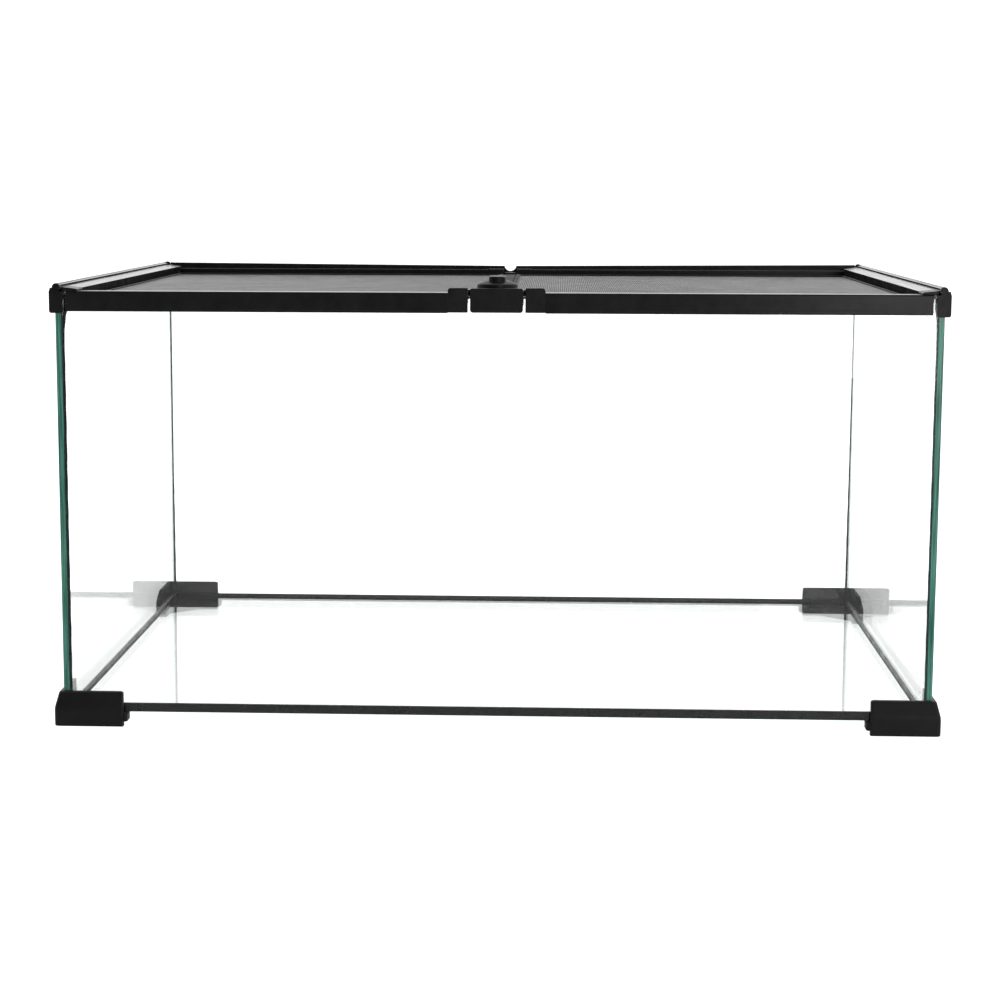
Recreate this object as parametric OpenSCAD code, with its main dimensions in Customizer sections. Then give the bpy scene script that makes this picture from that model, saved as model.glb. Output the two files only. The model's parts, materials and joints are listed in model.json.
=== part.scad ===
// Small-animal tank: a bonded glass box on four corner feet, closed by two mesh
// lids that hinge on the left and right top rails and are held by one twist latch.
// Millimetres. X is the width, Y the depth (front at -Y), Z up, floor at Z = 0.

/* [Tank] */
// Width over the end caps of the top frame
frame_w = 600; // [450:5:900]
// Depth over the front and back lid rails
frame_d = 450; // [300:5:600]
// Height of the side rails' shoulders above the floor
frame_h = 300; // [220:5:600]
// Thickness of every glass pane
glass_t = 4; // [3:0.5:4]
// How far the top frame stands out past the glass
overhang = 3.5; // [3.5:0.5:6]
// Height of the panes' lower edges above the floor
glass_z = 8.6; // [8:0.2:14]
// Width of the silicone seam between two panes
seam = 0.5; // [0.3:0.1:1]
// Width of the silicone bead inside each upright joint
bead = 1.3; // [0.8:0.1:3]
// Width of the silicone bead round the base pane
base_bead = 1.8; // [0.8:0.1:5]
// Height of the bead above the base pane
base_bead_h = 2.2; // [1:0.1:4]

/* [Feet] */
// Length of a foot along each wall
foot_l = 47.4; // [30:0.2:80]
// Height of a foot
foot_h = 24; // [18:0.5:40]
// How far a foot stands out past the glass
foot_out = 6; // [4:0.5:8]
// Height at which a foot's outer walls start to lean in
foot_knee = 13; // [5:0.5:16]
// How far a foot's outer walls lean in at the top
foot_lean = 3; // [0:0.5:3.5]
// How far the shelf under the glass runs past the foot's walls
foot_shelf = 3; // [0:0.1:8]

/* [Side rails and hinges] */
// Distance of each hinge axis in from the outer face of the frame
pivot_in = 5; // [5:0.1:5.5]
// Height of each hinge axis above the side rails' shoulders
pivot_up = 0.2; // [0:0.1:0.4]
// Radius of the hinge bead on the lid
hinge_r = 1.7; // [1.4:0.05:1.7]
// Radial clearance round the hinge bead
hinge_gap = 0.08; // [0.03:0.01:0.1]
// Outer radius of the knuckle that holds the bead
knuckle_r = 2.75; // [2.5:0.05:2.9]
// Height of an end cap
cap_h = 17; // [12:0.5:22]
// Width of an end cap
cap_w = 9.5; // [9:0.1:9.6]
// Thickness of an end cap along the rail
cap_t = 3; // [2:0.5:4]

/* [Lids] */
// Gap between the free edges of the two lids
lid_gap = 11; // [10.6:0.2:20]
// Depth of the lid rails' top web from the outer face
web_d = 12; // [11:0.5:16]
// Wall thickness of the lid rails
rail_wall = 2.2; // [1.6:0.1:2.2]
// Height of the apron that hangs in front of the glass
apron_h = 13.6; // [10:0.2:20]
// Height of the rails' top above the underside of the mesh ledge
rail_h = 6.2; // [6:0.2:9]
// Width of the ledge that carries the mesh
ledge_w = 4.5; // [3:0.5:8]
// Width of a front inner corner block
block_w = 13.3; // [10:0.1:18]
// Thickness of the mesh sheet
mesh_t = 0.4; // [0.3:0.1:0.6]

/* [Latch] */
// Width of the latch housing
latch_w = 35.2; // [34:0.2:36]
// Distance of the knob's axis behind the front face of the frame
knob_in = 22; // [21.5:0.5:22.5]
// Radius of the knob's domed base
knob_r = 13.7; // [11:0.1:14]
// Width of the knob's grip
grip_w = 11.4; // [8:0.2:14]
// Length of the knob's grip
grip_l = 21; // [15:0.5:23]
// Height of the knob's top above the side rails' shoulders
knob_h = 8.2; // [6:0.2:14]
// Travel of each bolt over a quarter turn of the knob
bolt_travel = 4.5; // [3:0.1:4.5]

/* [Hidden] */
$fn = 64;
cut = 1;                                    // overrun of a cutting shape
fit_gap = 0.4;                              // gap between a lid and what it lies on

half_w = frame_w / 2;
half_d = frame_d / 2;
glass_x = half_w - overhang;                // outer face of the side panes
glass_y = half_d - overhang;                // outer face of the front and back panes
inner_x = glass_x - glass_t;                // inner face of the side panes
inner_y = glass_y - glass_t;                // inner face of the front and back panes
rail_top = frame_h - 2.2;                   // top of the lids' front and back rails
rail_under = rail_top - rail_wall;          // underside of the rails' top web
glass_top = rail_under - 0.3;
ledge_z = rail_top - rail_h;                // underside of the mesh ledge
ledge_t = 0.8;
mesh_z = ledge_z + ledge_t;
apron_z = rail_top - apron_h;

foot_x = glass_x + foot_out;
foot_y = glass_y + foot_out;
shelf_inset = 1;                            // how far the shelf stays inside the foot's outline
shelf_z = 3.4;                              // underside of the shelf
shelf_depth = 12;                           // depth of the shelf at a foot's wall ends

pivot_x = half_w - pivot_in;
pivot_z = frame_h + pivot_up;
lip_start = 118;                            // knuckle's upper lip, degrees from the inward side
lip_end = 326;                              // knuckle's lower lip
lip_reach = 5;                              // reach of the wedge that opens the knuckle
neck_top = 0.2;                             // lid neck above the hinge axis
neck_drop = 0.9;                            // lid neck below the hinge axis
neck_r = 3.2;                               // reach of the thin neck from the axis
flange_top = pivot_z + neck_top;
flange_x = half_w - 19;                     // inner edge of the hinge flange
flange_fall = 1;                            // fall of the flange's top towards that edge
hinge_wall = 2;
cap_z = frame_h - cap_h;
cap_y = half_d - cap_t;                     // inner face of the end caps
corner_l = 20;                              // length of the outer corner pieces
neck_x = pivot_x - neck_r - 1;              // where the lid's neck meets the flange
side_leg = 2.4;                             // thickness of the side rail's outer leg
seat_x = half_w - cap_w + 0.3;              // inner face of the side rail
seat_z = glass_top + 2;                     // top of the seat on the side pane
leg_drop = 3.4;                             // reach of the inner leg below the pane's top

lid_x = lid_gap / 2;                        // free edge of a lid
rail_end = half_w - 11.7;                   // hinge-side end of the front and back rails
wall_y = half_d - web_d;                    // inner face of the front and back rails
ledge_y = wall_y - ledge_w;                 // inner edge of the front ledges
inner_wall = 2;
trim_d = 7.8;                               // depth of the fixed back bar
trim_y = half_d - trim_d;                   // front face of the back bar
trim_top = frame_h + 0.4;                   // top of the back bar in the middle
trim_rise = 1.8;                            // how far the back bar rises towards its ends
trim_x = half_w - cap_w - 0.2;              // ends of the back bar, between the back caps
back_in = trim_d + fit_gap;                 // lids' back face, in from the back of the frame
back_y = half_d - back_in;                  // back face of the lids
back_wall_y = back_y - web_d;               // inner face of the back rails
back_ledge_y = back_wall_y - ledge_w;       // inner edge of the back ledges
back_lip = 6;                               // height of the back rails' outer wall
latch_gap = 1.6;                            // gap between the housing and each corner block
block_x = latch_w / 2 + latch_gap;          // inner face of a front corner block
block_end = block_x + block_w;
block_top = frame_h + 1;
block_bottom = rail_top - 13.2;
block_depth = 47;                           // depth of a front corner block
leg_b_y = -half_d + 36.6;                   // front face of the block's cross leg
block_back = -half_d + block_depth;
block_ledge_y = block_back + ledge_w;       // back edge of the block's ledge
leg_z = rail_top - 4.6;                     // underside of the block's cross leg
saddle_top = rail_top + 0.4;
bezel_t = 3;                                // thickness of the outer bezels
back_block_w = 13;
key_t = 1.9;                                // thickness of an outer corner's key
cord_w = 1.2;                               // width of the mesh retaining cord
cord_h = 1.2;
edge_wall = 2.5;                            // thickness of the free-edge rail
edge_top = mesh_z + mesh_t + cord_h;

bar_top = ledge_z - fit_gap;                // level that the lids' free edges lie on
bar_t = 2.4;
bar_half = 11;                              // half width of the bar's flange
spine_half = lid_x - 0.6;                   // half width of the spine between the lids
spine_top = bar_top + 2.4;
bracket_drop = 4;
bracket_d = 12;

knob_y = -half_d + knob_in;
cover_top = frame_h - 1.2;
cover_t = 1.7;
box_top = cover_top - cover_t;
plate_top = frame_h + 0.7;
plate_r = 2;                                // rounding of the front plate's lower corners
floor_z = frame_h - 8.8;                    // floor that the bolts slide on
box_z = floor_z - 2.6;
box_front = -inner_y + 0.5;
box_back = leg_b_y - 1.1;
bolt_w = 8;
bolt_t = 3;
bolt_z = floor_z + 0.1;
bolt_gap = 0.15;
bolt_in = 2.9;                              // inner end of a bolt from the knob's axis
bolt_tip = latch_w / 2 - 0.2;
pin_r = 1;
pin_at = 4.2;                               // pin's distance from the axis, unlocked
slot_r = pin_r + 0.15;
turn = 90;                                  // turn of the knob from unlocked to locked
lead = bolt_travel * 180 / (turn * PI);     // bolt travel per radian of turn
cam_r = pin_at + bolt_travel + 2.1;
cam_z = bolt_z + bolt_t + 0.3;
cam_t = 2.3;
cavity_r = cam_r + 0.4;
shaft_r = 3;
shaft_gap = 0.06;
drive = 3;                                  // width of the square drive
screw_r = 0.9;
screw_head_r = 1.7;
cover_screw_x = 14.8;
cover_screw_y = 10.6;
socket_w = 11;
socket_d = 5.8;

// ---- helpers ----

// A box between two opposite corners.
module block(low, high) {
    translate(low) cube(high - low);
}

// A rectangle between two opposite corners.
module plate(low, high) {
    translate(low) square(high - low);
}

// The children, drawn for the right-hand side, on the left (-1) or the right (1).
module on_side(side) {
    if (side < 0) mirror([1, 0, 0]) children();
    else children();
}

// The children, drawn for the back, at the front (-1) or the back (1).
module at_end(end) {
    if (end < 0) mirror([0, 1, 0]) children();
    else children();
}

// An outline in X and Z, run along Y.
module along_y(from, to) {
    translate([0, to, 0]) rotate([90, 0, 0]) linear_extrude(to - from) children();
}

// An outline whose X is the distance in from the frame's back face, run along X.
module along_x(from, to) {
    translate([from, half_d, 0]) mirror([0, 1, 0]) rotate([90, 0, 90])
        linear_extrude(to - from) children();
}

function from_inward(angle, r) = [-cos(angle) * r, sin(angle) * r];

// ---- glass box ----

module base_glass() {
    color("azure", 0.35)
        block([-inner_x + seam, -inner_y + seam, glass_z],
              [inner_x - seam, inner_y - seam, glass_z + glass_t]);
}

// Front (-1) or back (1) pane, set between the side panes.
module long_pane(end) {
    color("azure", 0.35)
        at_end(end)
            block([-inner_x + seam, inner_y, glass_z], [inner_x - seam, glass_y, glass_top]);
}

module side_pane(side) {
    color("azure", 0.35)
        on_side(side)
            block([inner_x, -glass_y, glass_z], [glass_x, glass_y, glass_top]);
}

// Silicone of one upright joint: the seam and the concave bead inside it.
module upright_seal() {
    translate([0, 0, glass_z]) linear_extrude(glass_top - glass_z)
        plate([inner_x - seam, inner_y], [inner_x, glass_y]);
    bead_z = glass_z + glass_t + base_bead_h;
    translate([0, 0, bead_z]) linear_extrude(glass_top - bead_z)
        difference() {
            plate([inner_x - bead, inner_y - bead], [inner_x, inner_y]);
            translate([inner_x - bead, inner_y - bead]) circle(bead - seam);
        }
}

module corner_seals() {
    color("#141414")
        for (side = [-1, 1], end = [-1, 1])
            on_side(side) at_end(end) upright_seal();
}

module base_seal() {
    seal_top = glass_z + glass_t + base_bead_h;
    color("#141414")
        difference() {
            block([-inner_x, -inner_y, glass_z], [inner_x, inner_y, seal_top]);
            block([-inner_x + seam, -inner_y + seam, glass_z - cut],
                  [inner_x - seam, inner_y - seam, glass_z + glass_t]);
            block([-inner_x + base_bead, -inner_y + base_bead, glass_z],
                  [inner_x - base_bead, inner_y - base_bead, seal_top + cut]);
        }
}

// ---- feet ----

module rounded_outline(low, high, r) {
    plate([low[0] + r, low[1]], [high[0] - r, high[1]]);
    plate([low[0], low[1] + r], [high[0], high[1] - r]);
    for (x = [low[0] + r, high[0] - r], y = [low[1] + r, high[1] - r])
        translate([x, y]) circle(r);
}

// Upright section of a foot's wall: straight to the knee, then leaning in.
function foot_section(reach) =
    let (start = reach - foot_l, top_cut = 2)
    [[start, 0], [reach, 0], [reach, foot_knee], [reach - foot_lean, foot_h],
     [start + top_cut, foot_h], [start, foot_h - top_cut]];

// Shelf under the panes, cut off on the slant between the foot's wall ends.
module foot_shelf_outline(low) {
    shelf_r = 5;
    intersection() {
        rounded_outline([low[0] - foot_shelf, low[1] - foot_shelf],
                        [foot_x - shelf_inset, foot_y - shelf_inset], shelf_r);
        foot_slant(low);
    }
}

// Half plane on the outer side of the slant.
module foot_slant(low) {
    near = [low[0] - foot_shelf, foot_y - shelf_depth];
    far = [foot_x - shelf_depth, low[1] - foot_shelf];
    polygon([near, far, [foot_x, far[1]], [foot_x, foot_y], [near[0], foot_y]]);
}

module foot(side, end) {
    wall_r = 3;
    wall_t = 9;
    low = [foot_x - foot_l, foot_y - foot_l];
    color("#1d1d1f")
        on_side(side) at_end(end) difference() {
            union() {
                intersection() {
                    linear_extrude(foot_h) rounded_outline(low, [foot_x, foot_y], wall_r);
                    along_y(low[1] - cut, foot_y + cut) polygon(foot_section(foot_x));
                    translate([low[0] - cut, 0, 0]) rotate([90, 0, 90])
                        linear_extrude(foot_l + 2 * cut) polygon(foot_section(foot_y));
                    linear_extrude(foot_h) foot_slant(low);
                }
                translate([0, 0, shelf_z]) linear_extrude(glass_z - shelf_z)
                    foot_shelf_outline(low);
            }
            block([low[0] - foot_shelf - cut, low[1] - foot_shelf - cut, glass_z],
                  [glass_x, glass_y, foot_h + cut]);
            block([low[0] - cut, low[1] - cut, -cut],
                  [foot_x - wall_t, foot_y - wall_t, shelf_z]);
        }
}

// ---- side rails ----

// Knuckle, seat and outer leg of the fixed rail on a side pane.
module side_rail_section() {
    stem_in = 1.5;
    stem_out = 1.8;
    shoulder = 0.3;
    open_angles = [lip_end - 360, 0, 60, lip_start];
    difference() {
        union() {
            plate([half_w - side_leg, cap_z], [half_w, frame_h - shoulder]);
            plate([seat_x, glass_top], [half_w, seat_z]);
            plate([pivot_x - stem_in, glass_top], [pivot_x + stem_out, pivot_z - hinge_r]);
            translate([pivot_x, pivot_z]) circle(knuckle_r);
        }
        translate([pivot_x, pivot_z]) {
            circle(hinge_r + hinge_gap);
            polygon(concat([[0, 0]], [for (a = open_angles) from_inward(a, lip_reach)]));
        }
    }
}

// Rail with its inner leg, which stops short of the upright joints.
module side_rail(side) {
    leg_gap = 0.3;
    leg_y = inner_y - bead - 0.5;
    color("#26262a")
        on_side(side) {
            along_y(-cap_y, cap_y) side_rail_section();
            along_y(-leg_y, leg_y)
                plate([seat_x, glass_top - leg_drop], [inner_x - leg_gap, seat_z]);
        }
}

// Cap with a round bump over the knuckle, sloped shoulders and a low step that the
// lid's flange clears.
module end_cap(side, end) {
    step_x = pivot_x - knuckle_r + 0.2;
    step_z = rail_top - fit_gap;
    low_edge = 1;
    side_drop = 2.6;                        // drop of the outer shoulder
    side_in = 0.8;
    top_drop = 0.8;
    top_in = 2.3;                           // reach of the outer shoulder
    color("#17171a")
        on_side(side) at_end(end) along_y(cap_y, half_d) {
            polygon([[half_w - cap_w + low_edge, cap_z], [pivot_x, cap_z], [pivot_x, step_z],
                     [half_w - cap_w, step_z], [half_w - cap_w, cap_z + low_edge]]);
            polygon([[step_x, cap_z], [half_w - low_edge, cap_z], [half_w, cap_z + low_edge],
                     [half_w, frame_h - side_drop], [half_w - side_in, frame_h - top_drop],
                     [half_w - top_in, frame_h], [pivot_x, frame_h - top_drop],
                     [step_x, frame_h - 3]]);
            translate([pivot_x, pivot_z]) circle(knuckle_r);
        }
}

function trim_edge(x) = [x, trim_top + trim_rise * pow(x / trim_x, 2)];

// Outline of the back bar above a level, with its slightly hollow top.
module trim_outline(low_z) {
    steps = 24;
    polygon(concat([[-trim_x, low_z], [trim_x, low_z]],
                   [for (i = [0 : steps]) trim_edge(trim_x * (1 - 2 * i / steps))]));
}

// Fixed bar on the back pane, with a half-round cable notch in the middle.
module back_trim() {
    notch_r = 5;
    notch_up = 0.7;
    cap_top = rail_top - fit_gap;
    end_x = pivot_x - knuckle_r - 0.1;      // where the bar meets the back cap's bump
    color("#17171a")
        difference() {
            union() {
                along_y(trim_y, half_d) trim_outline(glass_top);
                along_y(half_d - rail_wall, half_d) {
                    trim_outline(apron_z);
                    for (side = [-1, 1])
                        on_side(side) plate([trim_x - cut, cap_top], [end_x, trim_top + trim_rise]);
                }
            }
            along_y(trim_y - cut, half_d + cut)
                translate([0, trim_top + notch_up]) circle(notch_r);
        }
}

// ---- centre bar ----

module centre_bar() {
    bar_back = inner_y - bracket_d;
    color("#202023")
        along_y(box_back, bar_back) {
            plate([-bar_half, bar_top - bar_t], [bar_half, bar_top]);
            plate([-spine_half, bar_top], [spine_half, spine_top]);
        }
}

// Shoe bonded inside the back pane, below the back bar's cable notch.
module bar_bracket() {
    shoe_top = bar_top + 4;
    color("#17171a")
        along_y(inner_y - bracket_d, inner_y) {
            plate([-bar_half, bar_top - bracket_drop], [bar_half, bar_top]);
            plate([-spine_half, bar_top], [spine_half, shoe_top]);
        }
}

// ---- lid rails ----

// Front rail: apron, top web, inner wall and mesh ledge.
module front_rail_section() {
    edge_r = 1;
    plate([0, apron_z], [rail_wall, rail_top - edge_r]);
    plate([edge_r, rail_under], [web_d, rail_top]);
    translate([edge_r, rail_top - edge_r]) circle(edge_r);
    plate([web_d - inner_wall, ledge_z], [web_d, rail_top]);
    plate([web_d - inner_wall, ledge_z], [web_d + ledge_w, mesh_z]);
}

module front_rail(side) {
    color("#1b1b1d")
        on_side(side) at_end(-1) along_x(block_end, rail_end) front_rail_section();
}

// Back rail: short outer wall, top web, inner wall and mesh ledge.
module back_rail_section() {
    plate([0, rail_top - back_lip], [rail_wall, rail_top]);
    plate([0, rail_under], [web_d, rail_top]);
    plate([web_d - inner_wall, ledge_z], [web_d, rail_top]);
    plate([web_d - inner_wall, ledge_z], [web_d + ledge_w, mesh_z]);
}

module back_rail(side) {
    color("#1b1b1d")
        on_side(side) along_x(lid_x + back_block_w, rail_end)
            translate([back_in, 0]) back_rail_section();
}

// Hinge bead, neck and flange, with the inner wall that carries the mesh.
module hinge_rail(side) {
    bead_y = cap_y - 0.3;
    join = 0.5;
    color("#2a2a2e")
        on_side(side) {
            along_y(-bead_y, bead_y) {
                translate([pivot_x, pivot_z]) circle(hinge_r);
                plate([neck_x, pivot_z - neck_drop], [pivot_x, flange_top]);
            }
            along_y(-half_d + corner_l, back_y - corner_l) {
                polygon([[flange_x, rail_top], [pivot_x - neck_r, rail_top],
                         [pivot_x - neck_r, flange_top], [neck_x, flange_top],
                         [flange_x, flange_top - flange_fall]]);
            }
            along_y(-half_d + corner_l, back_y - corner_l)
                plate([flange_x, mesh_z], [flange_x + hinge_wall, rail_top + join]);
            along_y(-wall_y, back_wall_y)
                plate([flange_x, mesh_z], [flange_x + hinge_wall, rail_top]);
            along_y(-ledge_y, back_ledge_y)
                plate([flange_x - ledge_w, ledge_z], [flange_x + hinge_wall, mesh_z]);
        }
}

// Low rail along a lid's free edge.
module edge_rail(side) {
    color("#1b1b1d")
        on_side(side) {
            along_y(block_back, back_wall_y)
                plate([lid_x, ledge_z], [lid_x + edge_wall, edge_top]);
            along_y(block_ledge_y, back_ledge_y)
                plate([lid_x, ledge_z], [lid_x + edge_wall + ledge_w, mesh_z]);
        }
}

// ---- lid corners ----

// Black end of the hinge flange, with a key glued behind the rail's inner wall.
module outer_corner(side, end) {
    nose_top = flange_top - flange_fall;
    nose_r = (nose_top - rail_top) / 2;
    key_l = 16;
    key_z = ledge_z + 0.6;
    stop_t = 0.8;
    face_y = end < 0 ? half_d : back_y;     // outer face of the lid at this end
    key_y = face_y - web_d + inner_wall;    // face that the key is glued to
    color("#17171a")
        on_side(side) at_end(end) {
            along_y(face_y - corner_l, face_y) {
                polygon([[flange_x + nose_r, rail_top], [neck_x, rail_top], [neck_x, flange_top],
                         [flange_x + nose_r, nose_top]]);
                translate([flange_x + nose_r, rail_top + nose_r]) circle(nose_r);
            }
            block([rail_end - key_l, key_y, key_z],
                  [rail_end + stop_t, key_y + key_t, rail_under]);
            block([rail_end, key_y, rail_under], [rail_end + stop_t, face_y - bezel_t, rail_top]);
        }
}

// Outer face of a front corner block, with a rounded corner away from the latch.
module block_face() {
    corner_r = 2;
    plate([block_x, block_bottom], [block_end - corner_r, block_top]);
    plate([block_x, block_bottom], [block_end, block_top - corner_r]);
    translate([block_end - corner_r, block_top - corner_r]) circle(corner_r);
}

// L-shaped corner block beside the latch, with the socket that a bolt enters.
module inner_corner_front(side) {
    body_front = -inner_y + 1.2;
    body_in = 1.2;                          // set-back of the body from the block's face
    socket_below = 1;
    socket_above = 1.2;
    hanger_t = 2;                           // wall that carries the ledge
    color("#1a1a1c")
        on_side(side) difference() {
            union() {
                along_y(-half_d, -half_d + bezel_t) block_face();
                block([block_x, -half_d, rail_under], [block_end, -half_d + web_d, saddle_top]);
                block([block_x + body_in, body_front, box_z],
                      [block_end, block_back, saddle_top]);
                block([lid_x, leg_b_y, leg_z], [block_end, block_back, saddle_top]);
                block([lid_x, block_back - hanger_t, ledge_z],
                      [block_end, block_back, saddle_top]);
                block([lid_x + edge_wall, block_back - cut, ledge_z],
                      [block_end + ledge_w, block_ledge_y, mesh_z]);
                block([block_end - cut, -ledge_y, ledge_z],
                      [block_end + ledge_w, block_ledge_y, mesh_z]);
            }
            block([block_x - cut, knob_y - socket_w / 2, bolt_z - socket_below],
                  [block_x + socket_d, knob_y + socket_w / 2, bolt_z + bolt_t + socket_above]);
        }
}

module inner_corner_back(side) {
    end_x = lid_x + back_block_w;
    color("#1a1a1c")
        on_side(side) {
            block([lid_x, back_y - rail_wall, rail_top - back_lip], [end_x, back_y, saddle_top]);
            block([lid_x, back_wall_y, rail_under], [end_x, back_y, saddle_top]);
            block([lid_x, back_wall_y, ledge_z], [end_x, back_wall_y + inner_wall, saddle_top]);
            block([lid_x + edge_wall, back_ledge_y, ledge_z],
                  [end_x, back_wall_y + cut, mesh_z]);
        }
}

// ---- mesh ----

// Area inside a lid's rails, drawn in from every rail by the given distance.
module mesh_outline(inset) {
    difference() {
        plate([lid_x + edge_wall + inset, -wall_y + inset],
              [flange_x - inset, back_wall_y - inset]);
        plate([0, -half_d], [block_end + inset, block_back + inset]);
    }
}

module mesh(side) {
    edge_gap = 0.2;
    color("#4a4a4c")
        on_side(side) translate([0, 0, mesh_z]) linear_extrude(mesh_t) mesh_outline(edge_gap);
}

module mesh_cord(side) {
    edge_gap = 0.1;
    color("#101010")
        on_side(side) translate([0, 0, mesh_z + mesh_t]) linear_extrude(cord_h)
            difference() {
                mesh_outline(edge_gap);
                mesh_outline(edge_gap + cord_w);
            }
}

// ---- latch ----

module front_plate_outline() {
    half = latch_w / 2;
    bottom = block_bottom;
    plate([-half, bottom + plate_r], [half, plate_top - 0.8]);
    plate([-half + plate_r, bottom], [half - plate_r, plate_top - 0.8]);
    for (x = [-half + plate_r, half - plate_r])
        translate([x, bottom + plate_r]) circle(plate_r);
    polygon([[-half, plate_top - 0.9], [half, plate_top - 0.9],
             [half - 0.9, plate_top], [-half + 0.9, plate_top]]);
}

// Saddle over the front pane, with the plain front plate and the box of the latch.
module latch_housing() {
    half = latch_w / 2;
    slot_half = bolt_w / 2 + bolt_gap;
    hole_d = 0.8;                           // depth of the screw holes below the floor
    color("#1c1c1f")
        difference() {
            union() {
                along_y(-half_d, -half_d + bezel_t) front_plate_outline();
                block([-half, -half_d, glass_top], [half, box_front + cut, box_top]);
                block([-half, box_front, box_z], [half, box_back, box_top]);
            }
            translate([0, knob_y, floor_z]) cylinder(r = cavity_r, h = cover_top - floor_z);
            block([-half - cut, knob_y - slot_half, floor_z],
                  [half + cut, knob_y + slot_half, bolt_z + bolt_t + bolt_gap]);
            for (x = [-1, 1], y = [-1, 1])
                translate([x * cover_screw_x, knob_y + y * cover_screw_y, floor_z - hole_d])
                    cylinder(r = screw_r, h = cover_top - floor_z);
        }
}

module latch_cover() {
    head_h = 0.9;
    color("#202024")
        difference() {
            block([-latch_w / 2, -half_d + bezel_t, box_top], [latch_w / 2, box_back, cover_top]);
            translate([0, knob_y, box_top - cut])
                cylinder(r = shaft_r + shaft_gap, h = cover_t + 2 * cut);
            for (x = [-1, 1], y = [-1, 1])
                translate([x * cover_screw_x, knob_y + y * cover_screw_y, 0]) {
                    translate([0, 0, box_top - cut]) cylinder(r = screw_r, h = cover_t + 2 * cut);
                    translate([0, 0, cover_top - head_h])
                        cylinder(r = screw_head_r, h = head_h + cut);
                }
        }
}

module cover_screws() {
    head_h = 0.9;
    head_z = cover_top - head_h;
    shank_z = floor_z - 0.6;
    overlap = 0.1;
    slot_l = 2.2;
    slot_w = 0.4;
    slot_z = cover_top - 0.5;
    color("silver")
        for (x = [-1, 1], y = [-1, 1])
            translate([x * cover_screw_x, knob_y + y * cover_screw_y, 0])
                difference() {
                    union() {
                        translate([0, 0, shank_z])
                            cylinder(r = screw_r, h = head_z - shank_z + overlap);
                        translate([0, 0, head_z])
                            cylinder(r = screw_head_r, h = head_h - overlap);
                    }
                    for (angle = [0, 90])
                        translate([0, 0, slot_z]) rotate(angle)
                            translate([-slot_l / 2, -slot_w / 2, 0]) cube([slot_l, slot_w, cut]);
                }
}

// Round-ended outline of the finger grip, lying front to back when unlocked.
module grip_outline() {
    end_y = (grip_l - grip_w) / 2;
    plate([-grip_w / 2, -end_y], [grip_w / 2, end_y]);
    for (y = [-end_y, end_y])
        translate([0, y]) circle(grip_w / 2);
}

// Domed base and finger grip, turning on a round shaft with a square drive below.
module latch_knob() {
    base_z = cover_top + 0.2;
    rim_z = frame_h + 2.6;                  // top of the dome's upright rim
    dome_z = frame_h + 5.6;                 // top of the dome
    shoulder = 0.6;
    crown_r = knob_r / 2;
    screw_hole = 8;
    dome = [[0, base_z], [knob_r, base_z], [knob_r, rim_z],
            [knob_r - shoulder, rim_z + shoulder], [crown_r, dome_z - shoulder / 2],
            [crown_r - shoulder, dome_z], [0, dome_z]];
    grip_z = base_z + 0.5;
    color("#1a1a1c")
        translate([0, knob_y, 0]) difference() {
            union() {
                rotate_extrude() polygon(dome);
                translate([0, 0, grip_z]) linear_extrude(frame_h + knob_h - grip_z)
                    grip_outline();
                translate([0, 0, cam_z + cam_t + 0.1])
                    cylinder(r = shaft_r, h = base_z - cam_z - cam_t);
                translate([-drive / 2, -drive / 2, cam_z])
                    cube([drive, drive, cam_t + 1]);
            }
            translate([0, 0, cam_z - cut]) cylinder(r = screw_r, h = screw_hole);
        }
}

// Point on a spiral slot's edge: the radius grows evenly as the angle runs back, and
// the half width along the radius allows for the slant of the spiral.
function slot_point(angle, side) =
    let (r = pin_at + bolt_travel * angle / turn,
         reach = slot_r * sqrt(1 + pow(lead / r, 2)))
    (r + side * reach) * [cos(-angle), sin(-angle)];

// Scroll slot of one bolt pin, as an even spiral over the knob's turn.
module scroll_slot() {
    steps = 24;
    angles = [for (i = [0 : steps]) i * turn / steps];
    polygon(concat([for (a = angles) slot_point(a, -1)],
                   [for (i = [steps : -1 : 0]) slot_point(angles[i], 1)]));
    translate([pin_at, 0]) circle(slot_r);
    rotate(-turn) translate([pin_at + bolt_travel, 0]) circle(slot_r);
}

module latch_cam() {
    color("dimgray")
        translate([0, knob_y, cam_z]) linear_extrude(cam_t) difference() {
            circle(cam_r);
            square(drive, center = true);
            scroll_slot();
            rotate(180) scroll_slot();
        }
}

module knob_screw() {
    head_h = 1.4;
    head_r = 2.2;
    shank_l = 6;
    overlap = 0.1;
    color("silver")
        translate([0, knob_y, 0]) {
            translate([0, 0, cam_z - head_h]) cylinder(r = head_r, h = head_h);
            translate([0, 0, cam_z - overlap]) cylinder(r = screw_r, h = shank_l);
        }
}

module bolt(side) {
    color("silver")
        on_side(side) {
            block([bolt_in, knob_y - bolt_w / 2, bolt_z],
                  [bolt_tip, knob_y + bolt_w / 2, bolt_z + bolt_t]);
            translate([pin_at, knob_y, bolt_z + bolt_t - 0.1])
                cylinder(r = pin_r, h = cam_t + 0.2);
        }
}

base_glass();
long_pane(-1);  // front_glass
long_pane(1);  // back_glass
side_pane(-1);  // left_glass
side_pane(1);  // right_glass
corner_seals();
base_seal();
foot(-1, -1);  // foot_front_left
foot(1, -1);  // foot_front_right
foot(-1, 1);  // foot_back_left
foot(1, 1);  // foot_back_right
side_rail(-1);  // left_side_rail
side_rail(1);  // right_side_rail
end_cap(-1, -1);  // left_cap_front
end_cap(-1, 1);  // left_cap_back
end_cap(1, -1);  // right_cap_front
end_cap(1, 1);  // right_cap_back
back_trim();
centre_bar();
bar_bracket();
latch_housing();
latch_cover();
cover_screws();
latch_knob();
latch_cam();
knob_screw();
bolt(-1);  // left_bolt
bolt(1);  // right_bolt
hinge_rail(-1);  // left_hinge_rail
front_rail(-1);  // left_front_rail
back_rail(-1);  // left_back_rail
edge_rail(-1);  // left_edge_rail
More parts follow.
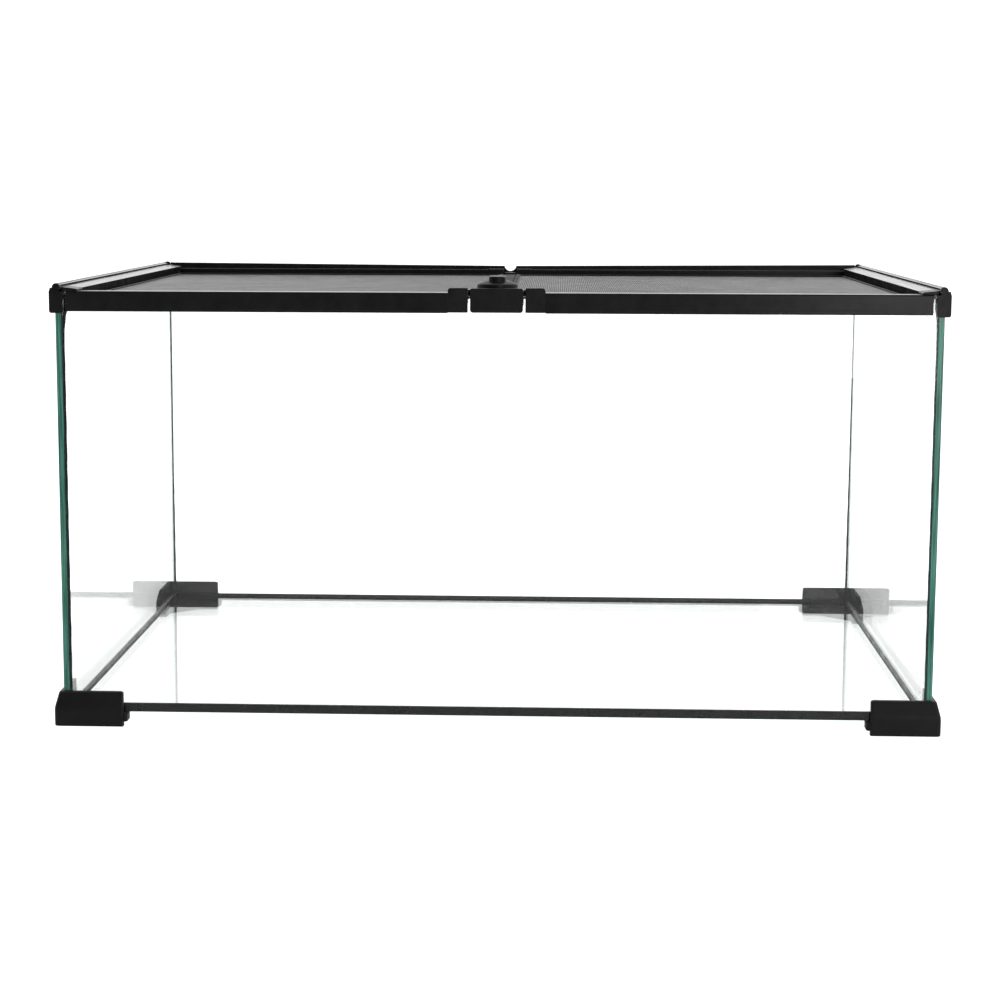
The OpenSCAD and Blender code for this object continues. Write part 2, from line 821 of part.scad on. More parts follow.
outer_corner(-1, -1);  // left_outer_corner_front
outer_corner(-1, 1);  // left_outer_corner_back
inner_corner_front(-1);  // left_inner_corner_front
inner_corner_back(-1);  // left_inner_corner_back
mesh(-1);  // left_mesh
mesh_cord(-1);  // left_mesh_cord
hinge_rail(1);  // right_hinge_rail
front_rail(1);  // right_front_rail
back_rail(1);  // right_back_rail
edge_rail(1);  // right_edge_rail
outer_corner(1, -1);  // right_outer_corner_front
outer_corner(1, 1);  // right_outer_corner_back
inner_corner_front(1);  // right_inner_corner_front
inner_corner_back(1);  // right_inner_corner_back
mesh(1);  // right_mesh
mesh_cord(1);  // right_mesh_cord
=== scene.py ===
"""A bonded glass tank with two hinged mesh lids, on a pale floor in soft studio light.

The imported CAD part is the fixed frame. Every visible piece is built here around it, in metres, in
the same frame: X is the width, Y the depth with the front at -Y, and the floor is at Z = 0.
"""

import json
import math

import bmesh
import bpy
from mathutils import Matrix, Vector

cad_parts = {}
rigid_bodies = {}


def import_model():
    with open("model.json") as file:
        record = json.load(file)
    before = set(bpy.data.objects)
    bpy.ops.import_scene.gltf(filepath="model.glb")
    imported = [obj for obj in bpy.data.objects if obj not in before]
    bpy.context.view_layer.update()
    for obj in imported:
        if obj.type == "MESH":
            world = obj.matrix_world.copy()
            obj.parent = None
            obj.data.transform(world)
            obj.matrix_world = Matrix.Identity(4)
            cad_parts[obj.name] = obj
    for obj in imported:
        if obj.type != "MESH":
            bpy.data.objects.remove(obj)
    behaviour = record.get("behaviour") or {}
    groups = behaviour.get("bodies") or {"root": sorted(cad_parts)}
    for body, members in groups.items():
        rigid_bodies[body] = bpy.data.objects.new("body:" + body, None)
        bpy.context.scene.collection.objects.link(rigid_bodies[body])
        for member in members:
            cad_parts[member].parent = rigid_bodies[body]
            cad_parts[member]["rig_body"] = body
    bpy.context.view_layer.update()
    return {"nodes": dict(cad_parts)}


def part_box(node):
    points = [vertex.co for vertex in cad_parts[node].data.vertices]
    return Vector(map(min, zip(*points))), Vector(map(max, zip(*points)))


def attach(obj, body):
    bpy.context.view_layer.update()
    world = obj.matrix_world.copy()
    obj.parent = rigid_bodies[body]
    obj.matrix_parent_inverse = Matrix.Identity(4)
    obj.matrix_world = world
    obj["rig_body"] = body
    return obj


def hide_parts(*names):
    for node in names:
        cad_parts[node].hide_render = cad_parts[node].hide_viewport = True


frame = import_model()

MM = 0.001
SIDES = {"left": -1, "right": 1}
ENDS = {"front": -1, "back": 1}

# ---- sizes that the frame's boxes don't give ----

FOOT_KNEE = 13 * MM
FOOT_LEAN = 3 * MM
FOOT_SHELF = 3 * MM
SHELF_Z = 3.4 * MM
SHELF_DEPTH = 12 * MM
SILL_T = 9 * MM
SEAM = 0.5 * MM
DOME_RIM = 3.6 * MM
DOME_H = 6.6 * MM
GRIP_W = 11.4 * MM
GRIP_L = 21 * MM
WIRE_PITCH = 1.4 * MM
WIRE_R = 0.15 * MM
FLOOR_HALF = 12.0
SMOOTH_BELOW = math.radians(42)


# ---- outlines ----

def rounded(points, radius, steps=4):
    """A closed outline with rounded corners. radius is one number, or one for each corner."""
    radii = radius if hasattr(radius, "__len__") else [radius] * len(points)
    corners = [Vector(p) for p in points]
    outline = []
    for i, corner in enumerate(corners):
        before = corners[i - 1] - corner
        after = corners[(i + 1) % len(corners)] - corner
        half = before.angle(after) / 2
        reach = min(radii[i] / math.tan(half), before.length * 0.49, after.length * 0.49)
        if reach < 1e-7:
            outline.append(corner)
            continue
        start = corner + before.normalized() * reach
        end = corner + after.normalized() * reach
        for k in range(steps + 1):
            t = k / steps
            edge = start.lerp(corner, t).lerp(corner.lerp(end, t), t)
            outline.append(edge)
    return outline


def rectangle(low, high):
    return [(low[0], low[1]), (high[0], low[1]), (high[0], high[1]), (low[0], high[1])]


def signed_area(outline):
    return sum(a.cross(b) for a, b in zip(outline, outline[1:] + outline[:1])) / 2


def inset(outline, distance):
    """The outline moved in by a small distance, point by point."""
    turn = 1 if signed_area(outline) > 0 else -1
    moved = []
    for i, p in enumerate(outline):
        into = (p - outline[i - 1]).normalized()
        out_of = (outline[(i + 1) % len(outline)] - p).normalized()
        along = (into + out_of).normalized()
        normal = Vector((-along.y, along.x)) * turn
        cosine = max(0.5, along.dot(into))
        moved.append(p + normal * distance / cosine)
    return moved


# ---- meshes ----

def place(axis, t, p):
    """A point of an outline at t along an axis: the outline holds the other two coordinates."""
    return {"X": (t, p.x, p.y), "Y": (p.x, t, p.y), "Z": (p.x, p.y, t)}[axis]


def skin(bm, rings):
    """Joins closed rings of points into one closed skin."""
    made = [[bm.verts.new(p) for p in ring] for ring in rings]
    for lower, upper in zip(made, made[1:]):
        count = len(lower)
        for i in range(count):
            j = (i + 1) % count
            bm.faces.new((lower[i], lower[j], upper[j], upper[i]))
    bm.faces.new(made[0][::-1])
    bm.faces.new(made[-1])


def prism(bm, outline, axis, start, end, bevel):
    """A solid along an axis with rounded rims."""
    steps = 3
    levels = []
    for k in range(steps + 1):
        angle = math.pi / 2 * (1 - k / steps)
        levels.append((bevel * (1 - math.sin(angle)), bevel * (1 - math.cos(angle))))
    rims = [(start + t, d) for t, d in levels] + [(end - t, d) for t, d in reversed(levels)]
    skin(bm, [[place(axis, t, p) for p in inset(outline, d)] for t, d in rims])


def turned(bm, profile, centre, segments=96):
    """A closed solid of revolution about a vertical axis, from (radius, height) points."""
    rings = []
    for r, z in profile:
        ring = []
        for k in range(segments):
            a = 2 * math.pi * k / segments
            ring.append((centre[0] + r * math.cos(a), centre[1] + r * math.sin(a), z))
        rings.append(ring)
    skin(bm, rings)


def mesh_from(build, name):
    """The mesh that a build function makes in an empty bmesh."""
    bm = bmesh.new()
    build(bm)
    bmesh.ops.recalc_face_normals(bm, faces=bm.faces)
    mesh = bpy.data.meshes.new(name)
    bm.to_mesh(mesh)
    bm.free()
    return mesh


def combined(name, first, others, operation="UNION"):
    """The mesh of a boolean of closed solids, each given as a build function."""
    base = bpy.data.objects.new("base", mesh_from(first, "base"))
    tools = [bpy.data.objects.new("tool", mesh_from(other, "tool")) for other in others]
    for o in [base, *tools]:
        bpy.context.scene.collection.objects.link(o)
    for tool in tools:
        modifier = base.modifiers.new("join", "BOOLEAN")
        modifier.operation = operation
        modifier.solver = "EXACT"
        modifier.object = tool
    depsgraph = bpy.context.evaluated_depsgraph_get()
    mesh = bpy.data.meshes.new_from_object(base.evaluated_get(depsgraph), depsgraph=depsgraph)
    mesh.name = name
    for o in [base, *tools]:
        bpy.data.objects.remove(o)
    return mesh


def mirrored(mesh, side, end=1):
    """The mesh, drawn for the right and the back, on another side or end."""
    mesh.transform(Matrix.Diagonal((side, end, 1, 1)))
    if side * end < 0:
        mesh.flip_normals()
    return mesh


def add_piece(node, mesh, material, suffix="_look"):
    """Shows a mesh in place of a CAD node, riding on that node's body."""
    body = frame["nodes"][node]["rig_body"]
    piece = bpy.data.objects.new(node + suffix, mesh)
    bpy.context.scene.collection.objects.link(piece)
    if not mesh.materials:
        mesh.materials.append(material)
    mesh.shade_smooth()
    mesh.set_sharp_from_angle(angle=SMOOTH_BELOW)
    normals = piece.modifiers.new("normals", "WEIGHTED_NORMAL")
    normals.keep_sharp = True
    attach(piece, body)
    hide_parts(node)
    return piece


def softened(node, width, segments=2):
    """A copy of a CAD node's mesh with its sharp edges rounded."""
    bm = bmesh.new()
    bm.from_mesh(frame["nodes"][node].data)
    bmesh.ops.remove_doubles(bm, verts=bm.verts, dist=1e-6)
    bmesh.ops.dissolve_limit(bm, angle_limit=math.radians(0.5), verts=bm.verts, edges=bm.edges)
    limit = math.radians(40)
    sharp = [e for e in bm.edges if len(e.link_faces) == 2 and e.calc_face_angle() > limit]
    bmesh.ops.bevel(
        bm, geom=sharp, offset=width, offset_type="OFFSET", segments=segments,
        profile=0.5, affect="EDGES", clamp_overlap=True,
    )
    mesh = bpy.data.meshes.new(node)
    bm.to_mesh(mesh)
    bm.free()
    return mesh


# ---- material helpers ----

def add_node(tree, kind, inputs=None, **settings):
    """A shader node with its settings, and its inputs as numbers or as links from other sockets."""
    made = tree.nodes.new(kind)
    for key, value in settings.items():
        setattr(made, key, value)
    for socket, value in (inputs or {}).items():
        if isinstance(value, bpy.types.NodeSocket):
            tree.links.new(value, made.inputs[socket])
        else:
            made.inputs[socket].default_value = value
    return made


def new_material(name):
    material = bpy.data.materials.new(name)
    material.use_nodes = True
    tree = material.node_tree
    tree.nodes.clear()
    output = tree.nodes.new("ShaderNodeOutputMaterial")
    return material, tree, output


def noise(tree, scale, stretch=(1, 1, 1), detail=2.0):
    """Noise on the piece's own coordinates, with repeats per metre, stretched along the axes."""
    coords = add_node(tree, "ShaderNodeTexCoord")
    mapping = add_node(tree, "ShaderNodeMapping", {"Vector": coords.outputs["Object"], "Scale": stretch})
    return add_node(
        tree, "ShaderNodeTexNoise",
        {"Vector": mapping.outputs["Vector"], "Scale": scale, "Detail": detail, "Roughness": 0.55},
    ).outputs["Fac"]


def between(tree, value, low, high, start=0.3, end=0.7):
    """The value, from start to end, mapped onto a range."""
    return add_node(
        tree, "ShaderNodeMapRange",
        {"Value": value, "From Min": start, "From Max": end, "To Min": low, "To Max": high},
    ).outputs["Result"]


def mix_colour(tree, factor, first, second):
    mixer = tree.nodes.new("ShaderNodeMix")
    mixer.data_type = "RGBA"
    for socket, value in zip((mixer.inputs[0], mixer.inputs[6], mixer.inputs[7]), (factor, first, second)):
        if isinstance(value, bpy.types.NodeSocket):
            tree.links.new(value, socket)
        else:
            socket.default_value = value
    return mixer.outputs[2]


def edge_wear(tree, amount):
    """From 0 on flat faces to amount on rounded outer edges, broken up by noise."""
    geometry = add_node(tree, "ShaderNodeNewGeometry")
    worn = between(tree, geometry.outputs["Pointiness"], 0, amount, 0.52, 0.62)
    patches = between(tree, noise(tree, 90), 0.3, 1)
    return add_node(tree, "ShaderNodeMath", {0: worn, 1: patches}, operation="MULTIPLY").outputs[0]


def bump(tree, height, strength, distance):
    return add_node(
        tree, "ShaderNodeBump", {"Height": height, "Strength": strength, "Distance": distance}
    ).outputs["Normal"]


def grey(value, tint=(1, 1, 1)):
    return (value * tint[0], value * tint[1], value * tint[2], 1)


def coated(name, dark, light, rough, grain, stretch=(1, 1, 1), metallic=0.0, wear=0.35, bumpiness=0.2,
           gloss=0.15):
    """A dark moulded or coated surface: mottled colour, uneven gloss, fine grain and worn edges."""
    material, tree, output = new_material(name)
    mottle = between(tree, noise(tree, 35, detail=4), 0, 1)
    colour = mix_colour(tree, mottle, dark, light)
    colour = mix_colour(tree, edge_wear(tree, wear), colour, grey(0.08))
    fine = noise(tree, grain, stretch, 3)
    shader = add_node(
        tree, "ShaderNodeBsdfPrincipled",
        {
            "Base Color": colour,
            "Metallic": metallic,
            "Specular IOR Level": gloss,
            "Roughness": between(tree, noise(tree, 140, stretch, 3), rough[0], rough[1]),
            "Normal": bump(tree, fine, bumpiness, 0.05 * MM),
        },
    )
    tree.links.new(shader.outputs[0], output.inputs["Surface"])
    return material


def clear_glass(name):
    """The polished faces of a pane: clear with a faint green cast, a mirror when seen edge-on."""
    material, tree, output = new_material(name)
    facing = add_node(tree, "ShaderNodeLayerWeight", {"Blend": 0.5}).outputs["Facing"]
    steep = add_node(tree, "ShaderNodeMath", {0: facing, 1: 5.0}, operation="POWER").outputs[0]
    share = between(tree, steep, 0.04, 1, 0, 1)
    tint = mix_colour(tree, noise(tree, 6), (0.990, 0.997, 0.994, 1), (0.994, 0.999, 0.997, 1))
    clear = add_node(tree, "ShaderNodeBsdfTransparent", {"Color": tint})
    smear = between(tree, noise(tree, 14, detail=5), 0.0, 0.03, 0.45, 0.8)
    mirror = add_node(tree, "ShaderNodeBsdfGlossy", {"Color": grey(0.95), "Roughness": smear})
    shader = add_node(
        tree, "ShaderNodeMixShader", {0: share, 1: clear.outputs[0], 2: mirror.outputs[0]}
    )
    tree.links.new(shader.outputs[0], output.inputs["Surface"])
    return material


def green_edge(name):
    """The ground edges of a pane: bottle green from outside, clear when seen through the glass."""
    material, tree, output = new_material(name)
    streaks = between(tree, noise(tree, 60, (14, 14, 0.35), 3), 0, 1, 0.35, 0.65)
    colour = mix_colour(tree, streaks, (0.03, 0.15, 0.11, 1), (0.14, 0.44, 0.34, 1))
    ground = add_node(
        tree, "ShaderNodeBsdfPrincipled",
        {
            "Base Color": colour,
            "Specular IOR Level": 0.3,
            "Roughness": between(tree, noise(tree, 300, (1, 1, 0.1)), 0.12, 0.35),
            "Normal": bump(tree, noise(tree, 900, (1, 1, 0.15)), 0.15, 0.05 * MM),
        },
    )
    inside = add_node(tree, "ShaderNodeBsdfTransparent", {"Color": (0.86, 0.95, 0.91, 1)})
    behind = add_node(tree, "ShaderNodeNewGeometry").outputs["Backfacing"]
    shader = add_node(
        tree, "ShaderNodeMixShader", {0: behind, 1: ground.outputs[0], 2: inside.outputs[0]}
    )
    tree.links.new(shader.outputs[0], output.inputs["Surface"])
    return material


def silicone(name):
    """Black sealant, tooled with a wet finger: glossy, with slow waves."""
    material, tree, output = new_material(name)
    colour = mix_colour(tree, noise(tree, 40), grey(0.003), grey(0.008))
    shader = add_node(
        tree, "ShaderNodeBsdfPrincipled",
        {
            "Base Color": colour,
            "Specular IOR Level": 0.3,
            "Roughness": between(tree, noise(tree, 70), 0.22, 0.42),
            "Normal": bump(tree, noise(tree, 160, detail=3), 0.35, 0.3 * MM),
        },
    )
    tree.links.new(shader.outputs[0], output.inputs["Surface"])
    return material


def wire(name):
    """Dark coated wire of the lids."""
    return coated(
        name, grey(0.20), grey(0.29), (0.3, 0.45), 1500, metallic=0.85, wear=0.2, bumpiness=0.1, gloss=0.5
    )


def steel(name):
    """Zinc-plated steel with fine scratches."""
    return coated(
        name, grey(0.42), grey(0.6), (0.2, 0.42), 900, (1, 12, 12), metallic=1.0, wear=0.0
    )


def make_materials():
    """All materials. The grain of the extrusions runs along X or along Y."""
    along_x, along_y = (0.1, 6, 6), (6, 0.1, 6)
    return {
        "clear": clear_glass("glass_clear"),
        "edge": green_edge("glass_edge"),
        "silicone": silicone("silicone_black"),
        "foot": coated("foot_plastic", grey(0.012), grey(0.017), (0.38, 0.52), 1600, bumpiness=0.35),
        "corner": coated("corner_plastic", grey(0.006), grey(0.009), (0.26, 0.38), 1900, bumpiness=0.25),
        "latch": coated("latch_plastic", grey(0.006), grey(0.010), (0.3, 0.45), 1900, bumpiness=0.3),
        "rail": coated("rail_coating", grey(0.007), grey(0.010), (0.14, 0.24), 700, along_x),
        "hinge": coated("hinge_coating", grey(0.005), grey(0.009), (0.12, 0.22), 700, along_y, gloss=0.3),
        "matte": coated("matte_coating", grey(0.006), grey(0.009), (0.6, 0.75), 700, along_y, gloss=0.0),
        "bar": coated("bar_coating", grey(0.09), grey(0.13), (0.8, 0.9), 700, along_y, gloss=0.0),
        "wire": wire("mesh_wire"),
        "cord": coated("mesh_cord", grey(0.010), grey(0.016), (0.45, 0.6), 1100, bumpiness=0.4),
        "steel": steel("steel"),
    }


# ---- glass and silicone ----

def pane(node, thin, materials):
    """A pane with seamed edges: clear on its two faces, green round its rim."""
    low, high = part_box(node)
    arris = 0.15 * MM
    bm = bmesh.new()
    bmesh.ops.create_cube(bm, size=1)
    size = high - low
    bmesh.ops.transform(
        bm, matrix=Matrix.Translation((low + high) / 2) @ Matrix.Diagonal((*size, 1)), verts=bm.verts
    )
    bmesh.ops.bevel(
        bm, geom=bm.edges[:], offset=arris, offset_type="OFFSET", segments=2, profile=0.5,
        affect="EDGES", clamp_overlap=True,
    )
    for face in bm.faces:
        face.material_index = 0 if abs(face.normal[thin]) > 0.99 else 1
    mesh = bpy.data.meshes.new(node)
    bm.to_mesh(mesh)
    bm.free()
    mesh.materials.append(materials["clear"])
    mesh.materials.append(materials["edge"])
    add_piece(node, mesh, None)


def build_glass(materials):
    pane("base_glass", 2, materials)
    for node in ("front_glass", "back_glass"):
        pane(node, 1, materials)
    for node in ("left_glass", "right_glass"):
        pane(node, 0, materials)


def seal_section(corner, outer_y, reach):
    """Section of an upright joint: the seam between the panes and a hollow bead inside."""
    x, y = corner
    points = [(x, outer_y), (x - SEAM, outer_y), (x - SEAM, y), (x - reach, y)]
    for k in range(1, 6):
        angle = math.pi / 2 * k / 6
        across, along = math.sin(angle), math.cos(angle)
        points.append((x - reach + (reach - SEAM) * across, y - reach + (reach - SEAM) * along))
    points.append((x, y - reach))
    return points


def upright_seal(bm, low, high, corner, bead, squeeze, sag):
    """A bead tooled by hand: wavy, wider below by sag, and squeezed out near the top."""
    steps = 60
    squeezed = 26 * MM
    rings = []
    for k in range(steps + 1):
        z = low + (high - low) * k / steps
        wave = 0.10 * MM * math.sin(z * 310) + 0.06 * MM * math.sin(z * 1270)
        near_top = max(0.0, 1 - (high - z) / squeezed)
        ragged = 1 + 0.3 * math.sin(z * 2100) + 0.2 * math.sin(z * 3700)
        widest = 3.0 * MM if high - z < 5 * MM else 4.4 * MM
        below = (high - z) / (high - low)
        reach = max(0.55 * MM, bead + wave + sag * below ** 2 + squeeze * near_top ** 1.2 * ragged)
        section = seal_section(corner, corner[1] + 4 * MM, min(reach, widest))
        rings.append([(x, y, z) for x, y in section])
    skin(bm, rings)


def build_silicone(materials):
    low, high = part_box("corner_seals")
    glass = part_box("back_glass")[0].y
    corner = (high.x, glass)
    amounts = {
        ("left", "front"): (1.2 * MM, 4.0 * MM, 0),
        ("right", "front"): (0.6 * MM, 1.6 * MM, 0.3 * MM),
        ("left", "back"): (0.8 * MM, 0.2 * MM, 1.0 * MM),
        ("right", "back"): (0.8 * MM, 0.2 * MM, 1.0 * MM),
    }
    bm = bmesh.new()
    for (side, end), amount in amounts.items():
        part = mesh_from(lambda one: upright_seal(one, low.z, high.z, corner, *amount), "upright")
        bm.from_mesh(mirrored(part, SIDES[side], ENDS[end]))
    mesh = bpy.data.meshes.new("corner_seals")
    bm.to_mesh(mesh)
    bm.free()
    add_piece("corner_seals", mesh, materials["silicone"])
    add_piece("base_seal", softened("base_seal", 0.3 * MM, 2), materials["silicone"])


# ---- feet ----

def foot_outline(outer, glass, length, lean, end_cut):
    """The L-shaped outline of a foot's two walls at one level, for the right-hand back corner."""
    x_out, y_out = outer.x - lean, outer.y - lean
    x_end, y_end = outer.x - length + end_cut, outer.y - length + end_cut
    points = [
        (x_end, glass.y), (glass.x, glass.y), (glass.x, y_end),
        (x_out, y_end), (x_out, y_out), (x_end, y_out),
    ]
    radii = [0.3 * MM, 0.2 * MM, 0.3 * MM, 1.2 * MM, 3.2 * MM, 1.2 * MM]
    return rounded(points, radii, 6)


def foot_walls(bm, outer, glass, length, height):
    """Walls that rise straight to the knee, then lean in to a rounded top."""
    rim = 1.4 * MM
    end_r = 2.2 * MM
    levels = [(0, 0.8 * MM, 0), (0.25 * MM, 0.25 * MM, 0), (0.8 * MM, 0, 0)]
    levels += [
        (FOOT_KNEE - 2 * MM, 0, 0), (FOOT_KNEE, 0.15 * MM, 0), (FOOT_KNEE + 2 * MM, 0.6 * MM, 0),
    ]
    for k in range(7):
        angle = math.pi / 2 * k / 6
        z = height - rim + rim * math.sin(angle)
        slope = FOOT_LEAN * (z - FOOT_KNEE) / (height - FOOT_KNEE)
        levels.append((z, slope + rim * (1 - math.cos(angle)), end_r * (1 - math.cos(angle))))
    rings = []
    for z, lean, end_cut in levels:
        ring = foot_outline(outer, glass, length, min(lean, outer.x - glass.x - 0.6 * MM), end_cut)
        rings.append([(p.x, p.y, z) for p in ring])
    skin(bm, rings)


def foot_shelf(bm, outer, reach, top):
    """The shelf that the panes stand on, cut off on the slant between the two wall ends."""
    x_out, y_out = outer.x - 1.0 * MM, outer.y - 1.0 * MM
    points = [
        (reach.x, outer.y - SHELF_DEPTH), (outer.x - SHELF_DEPTH, reach.y), (x_out, reach.y),
        (x_out, y_out), (reach.x, y_out),
    ]
    radii = [1.5 * MM, 1.5 * MM, 2 * MM, 4 * MM, 2 * MM]
    prism(bm, rounded(points, radii, 6), "Z", SHELF_Z, top, 0.6 * MM)


def foot_sill(bm, outer, length):
    """The part of the two walls that stands on the floor under the panes."""
    x_out, y_out = outer.x - 1.0 * MM, outer.y - 1.0 * MM
    x_end, y_end = outer.x - length + 0.6 * MM, outer.y - length + 0.6 * MM
    x_in, y_in = outer.x - SILL_T, outer.y - SILL_T
    points = [
        (x_end, y_in), (x_in, y_in), (x_in, y_end),
        (x_out, y_end), (x_out, y_out), (x_end, y_out),
    ]
    prism(bm, rounded(points, 0.5 * MM, 4), "Z", 0.0, SHELF_Z + 1.0 * MM, 0.3 * MM)


def build_feet(materials):
    glass = Vector((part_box("right_glass")[1].x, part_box("back_glass")[1].y))
    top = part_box("base_glass")[0].z
    low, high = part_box("foot_back_right")
    outer, reach = Vector(high[:2]), Vector(low[:2])
    length = outer.x - reach.x - FOOT_SHELF
    for side, x_sign in SIDES.items():
        for end, y_sign in ENDS.items():
            node = f"foot_{end}_{side}"
            mesh = combined(
                node,
                lambda bm: foot_walls(bm, outer, glass, length, high.z),
                [lambda bm: foot_shelf(bm, outer, reach, top), lambda bm: foot_sill(bm, outer, length)],
            )
            add_piece(node, mirrored(mesh, x_sign, y_sign), materials["foot"])


# ---- top frame ----

def matte_inside(mesh, side, material):
    """A second, matte material on the faces that look towards the middle of the tank."""
    mesh.materials.append(material)
    for face in mesh.polygons:
        if face.normal.x * side < -0.7:
            face.material_index = 1


def build_softened(materials):
    """The pieces whose CAD shape is right, with rounded edges and a better material."""
    plan = {
        "rail": (["front_rail", "back_rail"], "rail_metal", 0.4),
        "bar": (["edge_rail"], "rail_metal", 0.3),
        "hinge": (["hinge_rail", "side_rail"], "hinge_extrusion", 0.3),
        "corner": (
            ["outer_corner_front", "outer_corner_back", "inner_corner_front", "inner_corner_back",
             "cap_front", "cap_back"],
            "corner_plastic", 0.45,
        ),
    }
    for key, (names, slot, width) in plan.items():
        for side in SIDES:
            for name in names:
                mesh = softened(f"left_{name}", width * MM)
                if side == "right":
                    mesh = mirrored(mesh, -1)
                mesh.materials.append(materials[key])
                if name == "hinge_rail":
                    matte_inside(mesh, SIDES[side], materials["matte"])
                add_piece(f"{side}_{name}", mesh, materials[key])
    add_piece("back_trim", softened("back_trim", 0.4 * MM), materials["rail"])
    add_piece("centre_bar", softened("centre_bar", 0.3 * MM), materials["bar"])
    add_piece("bar_bracket", softened("bar_bracket", 0.3 * MM), materials["corner"])
    for node in ("latch_housing", "latch_cover"):
        add_piece(node, softened(node, 0.3 * MM), materials["latch"])


# ---- knob ----

def dome(bm, centre, radius, base):
    """The knob's round base: an upright rim under a shallow cone with a rounded crown."""
    rim, crown = base + DOME_RIM, base + DOME_H
    profile = [
        (0.05 * MM, base), (radius - 0.3 * MM, base), (radius, base + 0.3 * MM), (radius, rim - 0.3 * MM),
        (radius - 0.15 * MM, rim + 0.2 * MM), (radius - 0.7 * MM, rim + 0.6 * MM),
        (radius * 0.75, rim + 0.55 * (crown - rim)), (radius * 0.55, crown - 0.5 * MM),
        (radius * 0.46, crown - 0.1 * MM), (radius * 0.40, crown), (0.05 * MM, crown),
    ]
    turned(bm, profile, centre)


def grip(bm, centre, width, length, base, top):
    """The finger grip: a round-ended bar with softened rims."""
    half, end = width / 2, length / 2
    corners = rectangle((centre.x - half, centre.y - end), (centre.x + half, centre.y + end))
    prism(bm, rounded(corners, half * 0.97, 12), "Z", base, top, 0.9 * MM)


def build_knob(materials):
    low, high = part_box("latch_knob")
    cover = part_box("latch_cover")[1].z
    centre = Vector(((low.x + high.x) / 2, (low.y + high.y) / 2))
    base = cover + 0.2 * MM
    mesh = combined(
        "latch_knob",
        lambda bm: dome(bm, centre, (high.x - low.x) / 2, base),
        [lambda bm: grip(bm, centre, GRIP_W, GRIP_L, base + 1 * MM, high.z),
         lambda bm: turned(bm, [(3 * MM, low.z + 2.5 * MM), (3 * MM, base + 1 * MM)], centre, 48)],
    )
    add_piece("latch_knob", mesh, materials["latch"])


# ---- mesh ----

def wire_along(bm, axis, start, end, p):
    """A straight six-sided wire."""
    ring = [Vector(p) + WIRE_R * Vector((math.cos(a), math.sin(a)))
            for a in (math.pi / 3 * k for k in range(6))]
    skin(bm, [[place(axis, t, q) for q in ring] for t in (start, end)])


def mesh_wires(bm, low, high, notch):
    """Wires both ways over a right-hand lid, leaving out the corner beside the latch."""
    layer = low.z + WIRE_R
    rows = int((high.y - low.y) / WIRE_PITCH)
    for k in range(rows + 1):
        y = low.y + (high.y - low.y) * k / rows
        start = notch.x if y < notch.y else low.x
        wire_along(bm, "X", start, high.x, (y, layer))
    columns = int((high.x - low.x) / WIRE_PITCH)
    for k in range(columns + 1):
        x = low.x + (high.x - low.x) * k / columns
        start = notch.y if x < notch.x else low.y
        wire_along(bm, "Y", start, high.y, (x, layer + WIRE_R))


def build_mesh(materials):
    low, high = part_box("right_mesh")
    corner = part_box("right_inner_corner_front")[1]
    ledge = 4.5 * MM
    notch = Vector((corner.x - ledge + 0.2 * MM, corner.y - ledge + 0.2 * MM))
    for side, x_sign in SIDES.items():
        node = f"{side}_mesh"
        mesh = mesh_from(lambda bm: mesh_wires(bm, low, high, notch), node)
        add_piece(node, mirrored(mesh, x_sign), materials["wire"])
        cord = f"{side}_mesh_cord"
        add_piece(cord, softened(cord, 0.6 * MM), materials["cord"])


def dress_hardware(materials):
    """Small metal pieces keep their CAD mesh and get a finished surface."""
    for node in ("cover_screws", "latch_cam", "knob_screw", "left_bolt", "right_bolt"):
        o = frame["nodes"][node]
        o.data.materials.clear()
        o.data.materials.append(materials["steel"])


# ---- stage ----

def build_floor():
    """A pale floor that glows evenly white to the camera. To all other rays its glow is painted light:
    full behind the tank, fading to none in front.
    """
    material, tree, output = new_material("floor_pale")
    colour = mix_colour(tree, noise(tree, 3), grey(0.48), grey(0.50))
    seen = add_node(tree, "ShaderNodeLightPath").outputs["Is Camera Ray"]
    spot = add_node(tree, "ShaderNodeNewGeometry").outputs["Position"]
    depth = add_node(tree, "ShaderNodeSeparateXYZ", {0: spot}).outputs["Y"]
    front, back = -0.35, 0.35
    # painted light: the glow that mirrors and bounces see runs from none in front of the tank to full
    # behind it
    painted_floor_glow = between(tree, depth, 0, 1.0, front, back)
    shader = add_node(
        tree, "ShaderNodeBsdfPrincipled",
        {"Base Color": colour, "Roughness": 0.8, "Emission Color": grey(1.0),
         "Emission Strength": between(tree, seen, painted_floor_glow, 1.0, 0, 1)},
    )
    tree.links.new(shader.outputs[0], output.inputs["Surface"])
    half = FLOOR_HALF
    mesh = bpy.data.meshes.new("floor")
    corners = [(-half, -half, 0), (half, -half, 0), (half, half, 0), (-half, half, 0)]
    mesh.from_pydata(corners, [], [(0, 1, 2, 3)])
    mesh.materials.append(material)
    floor = bpy.data.objects.new("floor", mesh)
    bpy.context.scene.collection.objects.link(floor)


def area_light(name, place_at, aim, size, power):
    data = bpy.data.lights.new(name, "AREA")
    data.shape = "RECTANGLE"
    data.size, data.size_y = size
    data.energy = power
    light = bpy.data.objects.new(name, data)
    bpy.context.scene.collection.objects.link(light)
    light.location = place_at
    light.rotation_euler = (Vector(aim) - Vector(place_at)).to_track_quat("-Z", "Y").to_euler()


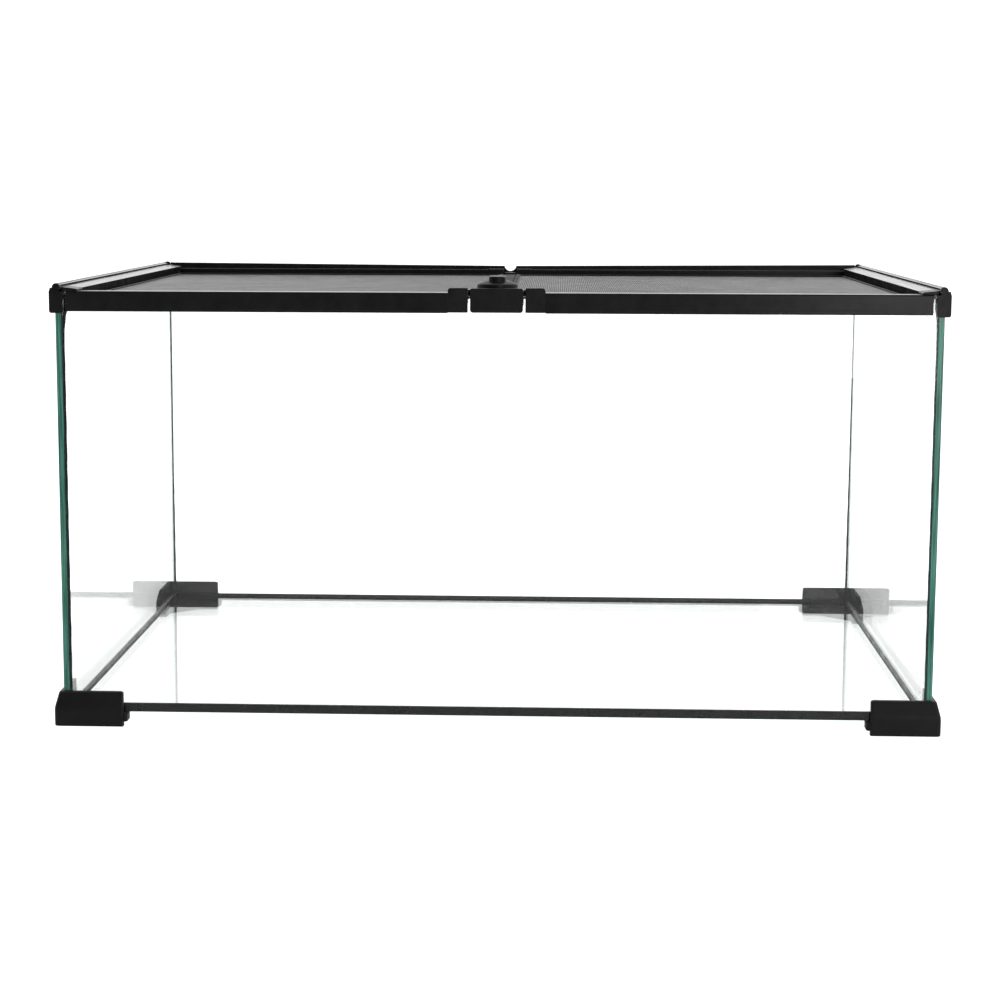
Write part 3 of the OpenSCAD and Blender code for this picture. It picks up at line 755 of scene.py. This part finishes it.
def build_world():
    """A white room that is bright behind and above the tank and darker in front of it."""
    world = bpy.data.worlds.new("studio")
    bpy.context.scene.world = world
    world.use_nodes = True
    tree = world.node_tree
    tree.nodes.clear()
    coords = add_node(tree, "ShaderNodeTexCoord")
    direction = add_node(tree, "ShaderNodeSeparateXYZ", {0: coords.outputs["Generated"]})
    glow = between(tree, direction.outputs["Y"], 0.1, 1.3, -0.6, 0.5)
    seen = add_node(tree, "ShaderNodeLightPath").outputs["Is Camera Ray"]
    strength = between(tree, seen, glow, 1.1, 0, 1)
    background = add_node(tree, "ShaderNodeBackground", {"Color": grey(1.0), "Strength": strength})
    output = add_node(tree, "ShaderNodeOutputWorld")
    tree.links.new(background.outputs[0], output.inputs["Surface"])


def build_lights():
    build_world()
    area_light("top_light", (0.2, 0.1, 2.4), (0, 0, 0.2), (2.6, 2.2), 24)
    area_light("right_light", (2.2, -1.2, 1.2), (0, 0, 0.2), (1.2, 1.6), 10)
    area_light("front_card", (1.15, -3.0, 0.35), (0.25, 0, 0.25), (1.3, 0.8), 14)
    bpy.context.scene.view_settings.view_transform = "Standard"


def build_camera():
    """The camera stands in front, a little above the lids, and looks slightly down and left."""
    data = bpy.data.cameras.new("camera")
    data.sensor_width = 36
    data.lens = 83.43
    data.shift_x = 0.0413
    data.shift_y = 0.0371
    data.clip_start = 0.05
    data.clip_end = 60
    pitch, yaw, roll = 0.1510, 0.0425, 0.0027
    place_at = Matrix.Translation((0.0410, -1.7698, 0.3689))
    turn = (
        Matrix.Rotation(yaw, 4, "Z")
        @ Matrix.Rotation(math.pi / 2 - pitch, 4, "X")
        @ Matrix.Rotation(roll, 4, "Z")
    )
    camera = bpy.data.objects.new("camera", data)
    bpy.context.scene.collection.objects.link(camera)
    camera.matrix_world = place_at @ turn
    bpy.context.scene.camera = camera


# ---- the whole ----

materials = make_materials()
build_camera()
build_lights()
build_floor()
build_glass(materials)
build_silicone(materials)
build_feet(materials)
build_softened(materials)
build_knob(materials)
build_mesh(materials)
dress_hardware(materials)
